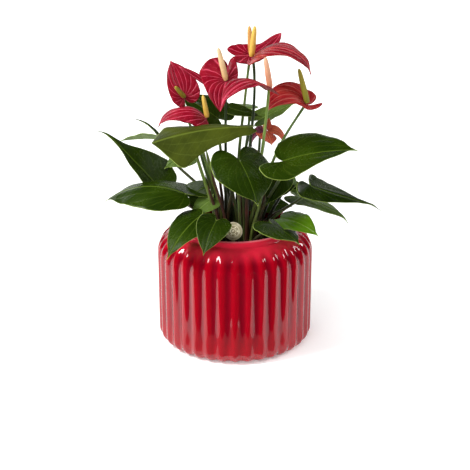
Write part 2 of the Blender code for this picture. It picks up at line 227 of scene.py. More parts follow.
def makeFloor():
    bm = bmesh.new()
    bmesh.ops.create_grid(bm, x_segments=8, y_segments=8, size=stageLook["paperHalf"])
    floor = newPiece("studioFloor", bm)
    look = Finish("floorPaper")
    grain = look.noise(look.place(), 3)
    near, far = stageLook["paperGlow"]
    across, back, _ = look.axes(look.place())
    away = look.ease(across * across + back * back, *stageLook["paperGlowReach"])
    look.set(Base_Color=look.mix(grain, *stageLook["paper"]), Roughness=0.9,
             Emission_Color=look.mix(away, [near] * 3, [far] * 3), Emission_Strength=1)
    floor.data.materials.append(look.material)


def makeCard(name, middle, size, tilt, glow, shade):
    bm = bmesh.new()
    bmesh.ops.create_grid(bm, x_segments=1, y_segments=1, size=0.5)
    bmesh.ops.scale(bm, vec=(*size, 1), verts=bm.verts)
    upright = Matrix.Rotation(math.radians(tilt), 3, "X")
    bmesh.ops.rotate(bm, verts=bm.verts, cent=(0, 0, 0), matrix=upright)
    bmesh.ops.translate(bm, vec=middle, verts=bm.verts)
    card = newPiece(name, bm)
    paint = Finish(name + "Paint")
    paint.set(Base_Color=paint.mix(paint.noise(paint.place(), 5), [shade] * 3, [shade * 1.3] * 3),
              Roughness=0.9, Emission_Color=(1, 1, 1, 1), Emission_Strength=glow)
    card.data.materials.append(paint.material)
    return card


def makeRoom():
    # the white room behind the paper, seen only by the camera
    bm = bmesh.new()
    bmesh.ops.create_uvsphere(bm, u_segments=32, v_segments=16, radius=stageLook["roomRadius"])
    bmesh.ops.reverse_faces(bm, faces=bm.faces)
    room = newPiece("whiteRoom", bm)
    white = Finish("roomWhite")
    white.set(Base_Color=white.mix(white.noise(white.place(), 1), (0, 0, 0), (0.01, 0.01, 0.01)),
              Emission_Color=(1, 1, 1, 1), Emission_Strength=stageLook["roomGlow"])
    room.data.materials.append(white.material)
    return room


def makeBackdrop():
    makeFloor()
    cards = [makeCard(*card) for card in stageLook["cards"]]
    for piece, camera in [(card, False) for card in cards] + [(makeRoom(), True)]:
        piece.visible_camera = camera
        piece.visible_glossy = not camera
        piece.visible_diffuse = False
        piece.visible_transmission = False
        piece.visible_shadow = False
    print("stage made")


# shared mesh helpers
def newPiece(name, bm):
    mesh = bpy.data.meshes.new(name)
    bm.to_mesh(mesh)
    bm.free()
    mesh.shade_smooth()
    piece = bpy.data.objects.new(name, mesh)
    bpy.context.collection.objects.link(piece)
    return piece


def clean(bm, distance=0.00001):
    bmesh.ops.remove_doubles(bm, verts=bm.verts, dist=distance)
    bmesh.ops.dissolve_degenerate(bm, edges=bm.edges, dist=distance)
    bmesh.ops.recalc_face_normals(bm, faces=bm.faces)


def finishPiece(piece, materials, nodes=()):
    for material in materials:
        piece.data.materials.append(material)
    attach(piece, "root")
    if nodes:
        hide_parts(*nodes)


def arc(centre, radius, start, end, steps):
    points = []
    for step in range(steps + 1):
        angle = math.radians(start + (end - start) * step / steps)
        points.append((centre[0] + radius * math.cos(angle), centre[1] + radius * math.sin(angle)))
    return points


def spun(profile, steps):
    bm = bmesh.new()
    row = [bm.verts.new((radius, 0, height)) for radius, height in profile]
    for first, second in zip(row, row[1:]):
        bm.edges.new((first, second))
    bmesh.ops.spin(bm, geom=bm.verts[:] + bm.edges[:], cent=(0, 0, 0), axis=(0, 0, 1),
                   angle=math.tau, steps=steps, use_merge=True)
    clean(bm)
    return bm


def swung(point, angle):
    # a point turned about the vertical axis
    return Vector((point.x * math.cos(angle) - point.y * math.sin(angle),
                   point.x * math.sin(angle) + point.y * math.cos(angle), point.z))


def leaned(direction):
    return Vector((0, 0, 1)).rotation_difference(Vector(direction)).to_matrix()


def smoothStep(value, low, high):
    share = min(max((value - low) / (high - low), 0), 1)
    return share * share * (3 - 2 * share)


# cover pot
potLook = {
    "flutes": 36,
    "fluteDepth": 2.5 * mm,
    "fluteFacets": 14,
    "wall": 6 * mm,
    "floor": 8 * mm,
    "mouthRadius": 62.5 * mm,
    "lipWall": 5 * mm,
    "footRound": 15 * mm,
    "shoulderRound": 30 * mm,
    "shoulderDrop": 6 * mm,        # from the top of the lip down to the top of the shoulder's arc
    "innerRound": 8 * mm,
    "glaze": (0.30, 0.0004, 0.006),
    "glazeCloud": (0.34, 0.0008, 0.009),
    "glazeThin": (0.42, 0.002, 0.014),
    # darker red in the flute valleys: painted shade in the hollows, along with glaze pooled there
    "glazePooledShade": (0.155, 0.0006, 0.008),
    # paler red high on the outside of the shoulder: a painted reflection of the light from above
    "glazeShoulderSheen": (0.78, 0.022, 0.055),
    "shoulderSheenHeights": (0.119, 0.136),
    # pale pink line on the lip's sharp edge: a painted highlight, where the glaze also thins
    "glazeLipBreakGlint": (0.80, 0.20, 0.24),
    "lipGlintHeights": (0.1404, 0.1418),
}


def potGlaze():
    look = Finish("potGlaze")
    spot = look.place()
    cloud = look.noise(spot, 18, 4)
    pool = look.noise(look.stretched((60, 60, 9)), 1, 3)
    thin = look.ease(pool, 0.45, 0.75)
    colour = look.mix(cloud, potLook["glaze"], potLook["glazeCloud"])
    colour = look.mix(thin * 0.35, colour, potLook["glazeThin"])
    sunk = look.attribute("fluteSunk")
    height = look.axes(spot)[2]
    # painted shade in the flute valleys, along with pooled glaze, kept off the foot
    pooledShade = look.ease(sunk + (pool - 0.5) * 0.3, 0.25, 0.95) * look.ease(height, 0.012, 0.045)
    colour = look.mix(pooledShade * 0.75, colour, potLook["glazePooledShade"])
    # painted reflection of the light from above, on the outside of the shoulder's top
    low, high = potLook["shoulderSheenHeights"]
    outer = look.attribute("outerSide")
    colour = look.mix(look.ease(height, low, high) * outer * 0.8, colour, potLook["glazeShoulderSheen"])
    # painted highlight along the lip's sharp edge, where the glaze also thins
    low, high = potLook["lipGlintHeights"]
    colour = look.mix(look.ease(height, low, high) * 0.7, colour, potLook["glazeLipBreakGlint"])
    ripple = look.noise(spot, 55, 2)
    peel = look.noise(spot, 260, 2)
    look.set(Base_Color=colour, Roughness=look.ease(ripple, 0.3, 0.7, 0.04, 0.075), IOR=1.46,
             Coat_Weight=0.1, Coat_Roughness=0.03,
             Normal=look.bump(ripple * 0.8 + peel * 0.2, 0.0003, 0.25))
    return look.material


def makeCoverPot():
    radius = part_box("cover_pot")[1][0]
    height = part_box("cover_pot")[1][2]
    lipOuter = potLook["mouthRadius"] + potLook["lipWall"]
    lipRound = potLook["lipWall"] / 2
    bend = potLook["shoulderRound"]
    shoulder = (radius - bend, height - potLook["shoulderDrop"] - bend)
    footRound = potLook["footRound"]
    inner = radius - potLook["wall"] - potLook["fluteDepth"]
    inside = [(0, potLook["floor"]), (inner * 0.5, potLook["floor"])]
    innerRound = potLook["innerRound"]
    inside += arc((inner - innerRound, potLook["floor"] + innerRound), innerRound, -90, 0, 6)
    inside += arc(shoulder, inner - shoulder[0], 0, 66, 12)
    inside.append((potLook["mouthRadius"], height - 7 * mm))
    lip = arc((potLook["mouthRadius"] + lipRound, height - lipRound), lipRound, 180, 0, 12)
    neck = [(lipOuter + 0.1 * mm, height - 4 * mm), (lipOuter + 0.6 * mm, height - 5.4 * mm)]
    top = arc(shoulder, bend, 76, 0, 22)
    wall = [(radius, footRound + (shoulder[1] - footRound) * (1 - step / 6)) for step in range(1, 6)]
    foot = arc((radius - footRound, footRound), footRound, 0, -90, 12)
    profile = inside + lip + neck + top + wall + foot + [(radius * 0.4, 0), (0, 0)]
    bm = spun(profile, potLook["flutes"] * potLook["fluteFacets"])
    deep = bm.verts.layers.float.new("fluteSunk")
    outer = bm.verts.layers.float.new("outerSide")
    for vert in bm.verts:
        reach = math.hypot(vert.co.x, vert.co.y)
        vert[outer] = smoothStep(reach, potLook["mouthRadius"] + 1 * mm, lipOuter)
        turn = math.atan2(vert.co.y, vert.co.x) + math.pi / 2
        climb = vert.co.z - shoulder[1]
        onShoulder = climb > 0 and math.hypot(climb, reach - shoulder[0]) > bend - 1 * mm
        if not (onShoulder or reach > inner + 1 * mm or vert.co.z < potLook["floor"] - 1 * mm):
            continue
        if onShoulder:
            fade = 1 - smoothStep(math.degrees(math.atan2(climb, reach - shoulder[0])), 34, 74)
        else:
            fade = smoothStep(reach, radius - footRound - 8 * mm, radius - footRound + 6 * mm)
        sunk = potLook["fluteDepth"] * fade * (0.5 - 0.5 * math.cos(potLook["flutes"] * turn))
        vert[deep] = sunk / potLook["fluteDepth"]
        if sunk:
            vert.co.x *= (reach - sunk) / reach
            vert.co.y *= (reach - sunk) / reach
    piece = newPiece("coverPot", bm)
    finishPiece(piece, [potGlaze()], ["cover_pot"])
    print("cover pot made")


# nursery pot
nurseryLook = {
    "plastic": (0.02, 0.02, 0.021),
    "dust": (0.05, 0.045, 0.04),
}


def nurseryPlastic():
    look = Finish("nurseryPlastic")
    spot = look.place()
    dust = look.noise(spot, 90, 4)
    colour = look.mix(look.ease(dust, 0.4, 0.7), nurseryLook["plastic"], nurseryLook["dust"])
    look.set(Base_Color=colour,
             Roughness=look.ease(dust, 0.3, 0.7, 0.4, 0.65),
             Normal=look.bump(look.noise(spot, 900, 2), 0.0001, 0.4))
    return look.material


def keepNurseryPot():
    pot = bpy.data.objects["grow_pot"]
    pot.data.materials.clear()
    pot.data.materials.append(nurseryPlastic())
    print("nursery pot finished")


# soil
soilLook = {
    "top": 128 * mm,
    "drop": 4 * mm,
    "reach": 57.2 * mm,
    "crumbs": 620,
    "bowlReach": 58.5 * mm,        # radius at which the surface has sunk by the full drop
    "dark": (0.004, 0.003, 0.0015),
    "light": (0.022, 0.015, 0.008),
    "barkDark": (0.008, 0.005, 0.003),
    "barkLight": (0.05, 0.032, 0.018),
}


def soilFinish(name, dark, light):
    look = Finish(name)
    spot = look.place()
    clod = look.noise(spot, 160, 6, 0.65)
    grit = look.node("ShaderNodeTexVoronoi", {"feature": "F1"}, {"Vector": spot, "Scale": 420})
    colour = look.mix(look.ease(clod, 0.35, 0.7), dark, light)
    colour = look.mix(look.ease(grit, 0.35, 0.15) * 0.3, colour, [part * 1.6 for part in light])
    look.set(Base_Color=colour, Roughness=look.ease(clod, 0.3, 0.7, 0.95, 0.75),
             Normal=look.bump(clod + grit * 0.5, 0.002, 0.9))
    return look.material


def soilHeight(radius):
    return soilLook["top"] - soilLook["drop"] * (radius / soilLook["bowlReach"]) ** 2


def makeSoil():
    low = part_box("potting_soil")[0][2]
    reach = soilLook["reach"]
    surface = [(reach * step / 40, soilHeight(reach * step / 40)) for step in range(41)]
    profile = surface + [(reach - 1 * mm, soilHeight(reach) - 6 * mm), (reach - 3 * mm, low + 60 * mm),
                         (reach - 16.5 * mm, low), (0, low)]
    bm = spun(profile, 120)
    for vert in bm.verts:
        if vert.co.z > soilHeight(reach) - 1 * mm:
            edge = 1 - smoothStep(math.hypot(vert.co.x, vert.co.y), reach - 4 * mm, reach)
            lump = noise.fractal(vert.co * 95, 1.0, 2.0, 4) * 1.5 * mm
            vert.co.z += lump * (0.35 + 0.65 * edge)
    piece = newPiece("pottingSoil", bm)
    finishPiece(piece, [soilFinish("soilPeat", soilLook["dark"], soilLook["light"])],
                ["potting_soil"])
    scatter = random.Random(12)
    bm = bmesh.new()
    for _ in range(soilLook["crumbs"]):
        turn = scatter.uniform(0, math.tau)
        far = reach * math.sqrt(scatter.uniform(0.0, 0.93))
        size = scatter.uniform(0.5, 1.7) * mm
        made = bmesh.ops.create_icosphere(bm, subdivisions=1, radius=size)["verts"]
        squeeze = [scatter.uniform(0.6, 1.5), scatter.uniform(0.6, 1.2), scatter.uniform(0.4, 0.8)]
        bmesh.ops.scale(bm, vec=squeeze, verts=made)
        for vert in made:
            vert.co += noise.noise_vector(vert.co * 900 + Vector((turn, far, 0))) * size * 0.35
        spin = Vector((scatter.uniform(-1, 1), scatter.uniform(-1, 1), 1)).to_track_quat("Z", "Y")
        bmesh.ops.rotate(bm, verts=made, cent=(0, 0, 0), matrix=spin.to_matrix())
        spot = Vector((far * math.cos(turn), far * math.sin(turn), soilHeight(far) + size * 0.3))
        bmesh.ops.translate(bm, verts=made, vec=spot)
    piece = newPiece("soilCrumbs", bm)
    finishPiece(piece,
                [soilFinish("soilBark", soilLook["barkDark"], soilLook["barkLight"])])
    print("soil made")


# plant tag
tagLook = {
    "place": (-2 * mm, -50 * mm, 149 * mm),
    "tilt": 14,
    "radius": 10.3 * mm,
    "thickness": 2 * mm,
    "beads": 40,
    "ridges": [
        # share of the radius, width, height in mm
        (0.30, 0.035, 0.18), (0.62, 0.03, 0.2), (0.72, 0.02, 0.15),
    ],
    "card": (0.72, 0.66, 0.46),
    "worn": (0.80, 0.75, 0.58),
    "dark": (0.24, 0.20, 0.10),
    "stakeWide": 5 * mm,
    "stakeThick": 1.2 * mm,
    "stakeTaper": 0.45,
    "stakeDark": (0.36, 0.26, 0.14),
    "stakeLight": (0.55, 0.43, 0.26),
}


def tagCard():
    look = Finish("tagCard")
    grain = look.noise(look.place(), 240, 5)
    wear = look.noise(look.place(), 60, 3)
    edge = look.attribute("relief")
    colour = look.mix(look.ease(edge, 0.3, 0.7), tagLook["dark"], tagLook["card"])
    colour = look.mix(look.ease(grain, 0.4, 0.75) * 0.5, colour, tagLook["worn"])
    look.set(Base_Color=colour, Roughness=look.ease(wear, 0.3, 0.7, 0.45, 0.65),
             Normal=look.bump(grain, 0.0002, 0.4))
    return look.material


def tagTurned(bm):
    tilt = math.radians(-tagLook["tilt"])
    for direction in ((0, -1, 0), (0, -math.sin(tilt), math.cos(tilt))):
        bmesh.ops.rotate(bm, verts=bm.verts, cent=(0, 0, 0), matrix=leaned(direction))
    bmesh.ops.translate(bm, verts=bm.verts, vec=tagLook["place"])


def makeTagDisc():
    radius = tagLook["radius"]
    half = tagLook["thickness"] / 2
    profile = [(0, half - 0.1 * mm), (radius * 0.1, half - 0.1 * mm)]
    for step in range(61):
        share = 0.1 + 0.86 * step / 60
        ridge = 0.0
        for line, wide, high in tagLook["ridges"]:
            ridge += high * math.exp(-((share - line) / wide) ** 2)
        profile.append((radius * share, half - 0.25 * mm + ridge * mm))
    profile += arc((radius - 0.5 * mm, half - 0.5 * mm), 0.5 * mm, 80, 0, 4)
    profile += arc((radius - 0.5 * mm, -half + 0.5 * mm), 0.5 * mm, 0, -90, 4) + [(0, -half)]
    bm = spun(profile, 160)
    relief = bm.verts.layers.float.new("relief")
    for vert in bm.verts:
        reach = math.hypot(vert.co.x, vert.co.y) / radius
        turn = math.atan2(vert.co.y, vert.co.x)
        if vert.co.z > 0 and 0.80 < reach < 0.97:
            bead = max(0, math.cos(tagLook["beads"] * turn)) * math.exp(-((reach - 0.87) / 0.045) ** 2)
            vert.co.z += bead * 0.28 * mm
        if vert.co.z > 0 and 0.36 < reach < 0.56:
            leaf = max(0, math.cos(6 * turn)) * math.exp(-((reach - 0.46) / 0.06) ** 2)
            vert.co.z += leaf * 0.22 * mm
        vert[relief] = smoothStep(vert.co.z, half - 0.28 * mm, half - 0.08 * mm) if vert.co.z > 0 else 0.6
    tagTurned(bm)
    piece = newPiece("tagDisc", bm)
    finishPiece(piece, [tagCard()], ["tag_disc"])


def makeTagStake():
    low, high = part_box("tag_stake")
    tilt = math.radians(tagLook["tilt"])
    bm = bmesh.new()
    bmesh.ops.create_cube(bm, size=1)
    bmesh.ops.subdivide_edges(bm, edges=bm.edges[:], cuts=3, use_grid_fill=True)
    length = (high[2] - low[2]) / math.cos(tilt)
    bmesh.ops.scale(bm, vec=(tagLook["stakeWide"], tagLook["stakeThick"], length), verts=bm.verts)
    for vert in bm.verts:
        share = 0.5 - vert.co.z / length
        vert.co.x *= 1 - tagLook["stakeTaper"] * share
    bmesh.ops.rotate(bm, verts=bm.verts, cent=(0, 0, 0), matrix=leaned((0, math.tan(tilt), 1)))
    middle = [(a + b) / 2 for a, b in zip(low, high)]
    bmesh.ops.translate(bm, verts=bm.verts, vec=middle)
    sharp = [edge for edge in bm.edges if edge.calc_face_angle(0) > 0.5]
    bmesh.ops.bevel(bm, geom=sharp, offset=0.25 * mm, segments=2, affect="EDGES", profile=0.5,
                    material=-1)
    piece = newPiece("tagStake", bm)
    look = Finish("tagStakeWood")
    grain = look.noise(look.stretched((900, 900, 60)), 1, 4)
    look.set(Base_Color=look.mix(grain, tagLook["stakeDark"], tagLook["stakeLight"]),
             Roughness=look.ease(grain, 0.3, 0.7, 0.6, 0.75), Normal=look.bump(grain, 0.0002, 0.5))
    finishPiece(piece, [look.material], ["tag_stake"])


def makeTag():
    makeTagDisc()
    makeTagStake()
    print("tag made")


# blades: leaves and spathes share one surface
outlines = {
    # from the notch round to the tip: share of the half width, then lobe lengths behind the
    # attachment (negative) or blade lengths ahead of it
    "leaf": [(0, 0), (0.13, -0.55), (0.36, -0.97), (0.66, -0.92), (0.90, -0.40), (1, 0.10),
             (0.97, 0.25), (0.84, 0.42), (0.62, 0.60), (0.36, 0.76), (0.13, 0.87), (0.03, 0.95),
             (0, 1)],
    "spathe": [(0, 0), (0.10, -0.60), (0.34, -1), (0.66, -0.88), (0.91, -0.30), (1, 0.14),
               (0.97, 0.32), (0.84, 0.52), (0.62, 0.70), (0.36, 0.84), (0.13, 0.93), (0, 1)],
    "tailed": [(0, 0), (0.13, -0.55), (0.36, -0.97), (0.66, -0.92), (0.92, -0.45), (1, 0.02),
               (0.90, 0.18), (0.68, 0.35), (0.43, 0.50), (0.22, 0.64), (0.10, 0.77), (0.04, 0.90),
               (0, 1)],
    "drooped": [(0, 0), (0.12, -0.80), (0.22, -0.30), (0.30, 0.08), (0.46, 0.22), (0.56, 0.38),
                (0.74, 0.56), (0.98, 0.72), (0.93, 0.80), (0.60, 0.88), (0.30, 0.94), (0.10, 0.98),
                (0, 1)],
    "waisted": [(0, 0), (0.01, -0.75), (0.32, -1), (0.70, -0.92), (0.97, -0.45), (1, -0.05),
                (0.82, 0.20), (0.60, 0.42), (0.52, 0.60), (0.44, 0.76), (0.26, 0.90), (0, 1)],
    "domed": [(0, 0), (0.01, -0.70), (0.30, -1), (0.70, -0.90), (0.95, -0.48), (1, -0.15),
              (0.88, 0.16), (0.70, 0.40), (0.50, 0.62), (0.28, 0.82), (0.10, 0.94), (0, 1)],
    "sheath": [(0, 0), (0.55, 0), (1, 0.12), (0.95, 0.40), (0.60, 0.75), (0, 1)],
}
# lengths are in mm and angles in degrees; left is the left half's width as a share of the right
# half's, lift raises the lobes, curl bends the tip and skew slides the rim along the midrib
bladeDefaults = {"bend": 0, "roll": 0, "twist": 0, "fold": 0, "cup": 0, "lift": 0,
                 "curl": 0, "skew": 0, "left": 1, "outline": "leaf", "wave": 1.0, "veins": 26,
                 "quilt": 0.3, "groove": 0.5, "seed": 0, "thick": 0.5, "sway": 1}
bladeCells = {"leaf": (44, 12), "spathe": (44, 14), "small": (36, 9), "petal": (28, 7), "sheath": (16, 5)}
spatheShape = {"outline": "spathe", "wave": 1.2, "veins": 23, "quilt": 0.7, "groove": 0.6, "thick": 0.6}


def along(outline, share):
    last = len(outline) - 1
    place = min(max(share, 0), 1) * last
    number = min(int(place), last - 1)
    part = place - number
    p1 = Vector(outline[number])
    p2 = Vector(outline[number + 1])
    p0 = Vector(outline[max(number - 1, 0)])
    p3 = Vector(outline[min(number + 2, last)])
    return (p1 + 0.5 * part * ((p2 - p0) + part * ((2 * p0 - 5 * p1 + 4 * p2 - p3)
                               + part * (3 * (p1 - p2) + p3 - p0))))


def directions(reach, leaf):
    share = reach / leaf["length"]
    pitch = leaf["pitch"]
    if share < 0:
        pitch -= leaf["lift"] * math.sqrt(min(1, -reach / leaf["lobe"]))
    else:
        pitch += leaf["bend"] * share + leaf["curl"] * max(0, (share - 0.7) / 0.3) ** 2
    pitch = math.radians(pitch)
    roll = math.radians(leaf["roll"] + leaf["twist"] * max(0, share))
    forward = Vector((math.cos(pitch), 0, math.sin(pitch)))
    level = Vector((0, -1, 0))
    above = level.cross(forward)
    right = level * math.cos(roll) + above * math.sin(roll)
    return forward, right, right.cross(forward)


def midrib(reach, leaf):
    steps = 12
    place = Vector((0, 0, 0))
    for step in range(steps):
        place += directions(reach * (step + 0.5) / steps, leaf)[0] * reach / steps
    return place, directions(reach, leaf)


def flatPoint(leaf, share, side):
    edge = along(outlines[leaf["outline"]], share)
    ahead = edge.y * (leaf["length"] if edge.y > 0 else leaf["lobe"])
    rim = Vector((edge.x * leaf["half"], ahead))
    fan = 0.0 if leaf["outline"] == "sheath" else 0.3
    spine = Vector((0, max(0, (share - fan) / (1 - fan)) * leaf["length"]))
    point = spine.lerp(rim, abs(side))
    across = point.x if side >= 0 else -point.x * leaf["left"]
    return across, point.y


def veinAngle(across, ahead, leaf):
    # the angle that is the same all along an arc from the attachment to the tip
    first = math.atan2(abs(across), ahead)
    second = math.atan2(abs(across), leaf["length"] - ahead)
    return math.degrees(first + second)


def bladeMesh(name, leaf, cells):
    bm = bmesh.new()
    spot = bm.verts.layers.float_vector.new("bladePlace")
    rows, columns = cells
    bmesh.ops.create_grid(bm, x_segments=rows, y_segments=2 * columns, size=1)
    heading = math.radians(leaf["heading"])
    base = Vector(leaf["at"])
    shift = Vector((leaf["seed"] * 3.7, leaf["seed"] * 1.3, 0))
    for vert in bm.verts:
        side = vert.co.y
        share = (vert.co.x + 1) / 2
        across, ahead = flatPoint(leaf, share, side)
        place, (_, right, above) = midrib(ahead, leaf)
        wide = abs(across) / leaf["half"]
        angle = veinAngle(across, ahead + leaf["skew"] * across, leaf)
        near = math.hypot(across, ahead) / leaf["length"]
        swell = smoothStep(near, 0.03, 0.25) * (1 - smoothStep(ahead / leaf["length"], 0.75, 1.0))
        rise = leaf["quilt"] * swell * (0.5 - 0.5 * math.cos(math.tau * angle / leaf["veins"]))
        rise -= leaf["groove"] * math.exp(-(across / 1.1) ** 2) * smoothStep(near, 0.0, 0.05)
        flat = Vector((across, ahead, 0))
        rise += leaf["wave"] * noise.noise(flat * 0.045 + shift) * (0.35 + 1.8 * abs(side) ** 3)
        rise += 0.35 * leaf["wave"] * noise.noise(flat * 0.13 + shift) * (0.3 + 0.9 * abs(side) ** 4)
        slant = leaf["skew"] * across
        if slant:
            place, (_, right, above) = midrib(ahead + slant, leaf)
        fold = math.radians(leaf["fold"] + leaf["cup"] * wide)
        point = place + right * across * math.cos(fold) + above * (abs(across) * math.sin(fold) + rise)
        vert.co = (base + swung(point, heading)) * mm
        vert[spot] = (across / leaf["length"], ahead / leaf["length"], abs(side))
    clean(bm, 0.000004)
    facing = sum((face.normal * face.calc_area() for face in bm.faces), Vector())
    _, (_, _, above) = midrib(0.3 * leaf["length"], leaf)
    if facing.dot(swung(above, heading)) < 0:
        bmesh.ops.reverse_faces(bm, faces=bm.faces)
    return newPiece(name, bm)


def makeBlade(name, shape, cells, materials, nodes=()):
    piece = bladeMesh(name, shape, cells)
    skin = piece.modifiers.new("thickness", "SOLIDIFY")
    skin.thickness = shape["thick"] * mm
    skin.offset = 0
    skin.material_offset = 1
    skin.use_even_offset = False
    piece.data.update()
    finishPiece(piece, materials, nodes)


def veinField(look, spacing):
    # lines of equal angle from the attachment to the tip, as 0 on a vein and 1 half way between
    place = look.attribute("bladePlace", "Vector")
    across, ahead, edge = look.axes(place)
    wide = abs(across)
    first = wide.math("ARCTAN2", ahead)
    second = wide.math("ARCTAN2", 1 - ahead)
    turn = (first + second) * (180 / math.pi / spacing)
    wander = look.noise(place, 9, 2) - 0.5
    line = abs((turn + wander * 0.22 + 0.5).math("FRACT") - 0.5) * 2
    return place, across, ahead, edge, line, turn


def leafTop(name, dark, light, vein, gloss, shine):
    look = Finish(name)
    place, across, ahead, edge, line, _ = veinField(look, bladeDefaults["veins"])
    spot = look.place()
    midribLine = look.ease(abs(across), 0.016, 0.004)
    arcs = look.ease(line, 0.16, 0.03) * look.ease(edge, 0.99, 0.8)
    # side veins sweep forward from the midrib
    sweep = ahead - (abs(across) * 1.25) ** 1.15
    ribs = abs((sweep * 11 + look.noise(place, 14, 1) * 0.25).math("FRACT") - 0.5) * 2
    ribs = look.ease(ribs, 0.22, 0.02) * look.ease(edge, 0.95, 0.7)
    netLine = look.net(place, 46, 0.10)
    margin = look.ease(edge, 0.972, 0.992)
    patch = look.noise(spot, 26, 3)
    fine = look.noise(spot, 420, 2)
    colour = look.mix(look.ease(patch, 0.3, 0.72), dark, light)
    colour = look.mix(netLine * 0.07, colour, vein)
    colour = look.mix(ribs * 0.14, colour, vein)
    colour = look.mix(arcs * 0.28, colour, vein)
    colour = look.mix(midribLine * 0.6, colour, [min(1, part * 1.4) for part in vein])
    colour = look.mix(margin * 0.8, colour, (0.27, 0.36, 0.07))
    relief = midribLine * 0.8 + arcs * 0.5 + ribs * 0.35 + netLine * 0.15
    rough = look.ease(fine * 0.4 + patch * 0.6, 0.3, 0.7, gloss, gloss + 0.12)
    look.set(Base_Color=colour, Roughness=rough, IOR=1.4, Specular_IOR_Level=shine,
             Normal=look.bump(1 - relief + fine * 0.06, 0.0005, 0.4))
    return look.material


def leafUnder(name, dark, light):
    look = Finish(name)
    place, across, _, edge, line, _ = veinField(look, bladeDefaults["veins"])
    midribLine = look.ease(abs(across), 0.02, 0.006)
    arcs = look.ease(line, 0.18, 0.03) * look.ease(edge, 0.99, 0.85)
    netLine = look.net(place, 42, 0.12)
    patch = look.noise(look.place(), 30, 3)
    pale = [min(1, part * 1.7) for part in light]
    colour = look.mix(look.ease(patch, 0.3, 0.7), dark, light)
    colour = look.mix(netLine * 0.25 + arcs * 0.4, colour, pale)
    colour = look.mix(midribLine * 0.85, colour, pale)
    look.set(Base_Color=colour, Roughness=look.ease(patch, 0.3, 0.7, 0.48, 0.6), IOR=1.4,
             Specular_IOR_Level=0.2, Normal=look.bump(midribLine + arcs * 0.6 + netLine * 0.2, 0.0006, 0.7))
    return look.material


def spatheTop(name, deep, bright, vein, fade):
    look = Finish(name)
    place, across, _, edge, line, turn = veinField(look, spatheShape["veins"])
    spot = look.place()
    middle = look.ease(abs(across), 0.028, 0.006)
    arcs = look.ease(line, 0.22, 0.05) * look.ease(edge, 1.0, 0.86)
    branch = abs((turn * 2 + look.noise(place, 12, 2) * 0.9).math("FRACT") - 0.5) * 2
    twigs = look.ease(branch, 0.16, 0.03) * look.ease(look.noise(place, 7, 2), 0.42, 0.62)
    netLine = look.net(place, 30, 0.09)
    patch = look.noise(spot, 38, 4)
    fine = look.noise(spot, 500, 2)
    colour = look.mix(look.ease(patch, 0.3, 0.7), deep, bright)
    colour = look.mix(look.ease(patch, 0.5, 0.8) * 0.35, colour, fade)
    colour = look.mix(netLine * 0.10 + twigs * 0.22, colour, vein)
    colour = look.mix(arcs * 0.66, colour, vein)
    colour = look.mix(middle * 0.7, colour, vein)
    colour = look.mix(look.ease(edge, 0.96, 1.0) * 0.5, colour, fade)
    relief = middle * 0.7 + arcs * 0.7 + twigs * 0.2 + netLine * 0.15
    look.set(Base_Color=colour, Roughness=look.ease(fine * 0.5 + patch * 0.5, 0.3, 0.7, 0.18, 0.28),
             IOR=1.4, Specular_IOR_Level=0.22, Normal=look.bump(1 - relief + fine * 0.05, 0.0006, 0.6))
    return look.material


def spatheUnder(name, dark, light, vein):
    look = Finish(name)
    _, across, _, _, line, _ = veinField(look, spatheShape["veins"])
    middle = look.ease(abs(across), 0.035, 0.008)
    arcs = look.ease(line, 0.26, 0.05)
    patch = look.noise(look.place(), 34, 4)
    colour = look.mix(look.ease(patch, 0.3, 0.7), dark, light)
    colour = look.mix(arcs * 0.5, colour, vein)
    colour = look.mix(middle * 0.7, colour, vein)
    look.set(Base_Color=colour, Roughness=look.ease(patch, 0.3, 0.7, 0.4, 0.52), IOR=1.4,
             Specular_IOR_Level=0.25, Normal=look.bump(middle + arcs * 0.7, 0.0006, 0.7))
    return look.material


# stalks
stalkLook = {
    "rings": 34,
    "tubeCorners": 3,              # of a quarter turn
    "sink": 3 * mm,                # below the soil's surface
    "sway": 1.2 * mm,
    "petiole": (1.75, 0.35),       # radius in mm, and how far it swells below the blade
    "stem": (1.7, 0.2),
    # at the soil, higher up, flush
    "petioleSkins": {
        "petioleGreen": ((0.035, 0.04, 0.012), (0.075, 0.13, 0.02), (0.10, 0.045, 0.02)),
        "petioleDark": ((0.03, 0.022, 0.01), (0.035, 0.06, 0.012), (0.09, 0.03, 0.018)),
    },
    "stemSkins": {
        "flowerStemGreen": ((0.05, 0.06, 0.015), (0.09, 0.15, 0.03), (0.11, 0.06, 0.02)),
        "flowerStemDark": ((0.03, 0.025, 0.01), (0.022, 0.04, 0.010), (0.05, 0.03, 0.012)),
        "flowerStemPale": ((0.08, 0.10, 0.02), (0.17, 0.26, 0.045), (0.14, 0.16, 0.03)),
    },
}


def stalkPath(leaf, root):
    above = bladeUp(leaf)
    end = Vector(leaf["at"]) * mm - above * 0.2 * mm
    start = Vector((root[0], root[1], 0)) * mm
    start.z = soilHeight(start.length) - stalkLook["sink"]
    rise = (end - start).length
    lean = (above * leaf["sway"] + Vector((0, 0, 0.8))).normalized()
    return [start, start + Vector((0, 0, 0.45)) * rise, end - lean * rise * 0.28, end]


def bladeUp(leaf):
    _, (_, _, above) = midrib(0, leaf)
    return swung(above, math.radians(leaf["heading"]))


def bezier(bends, t):
    s = 1 - t
    return (bends[0] * s ** 3 + bends[1] * 3 * s * s * t + bends[2] * 3 * s * t * t + bends[3] * t ** 3)


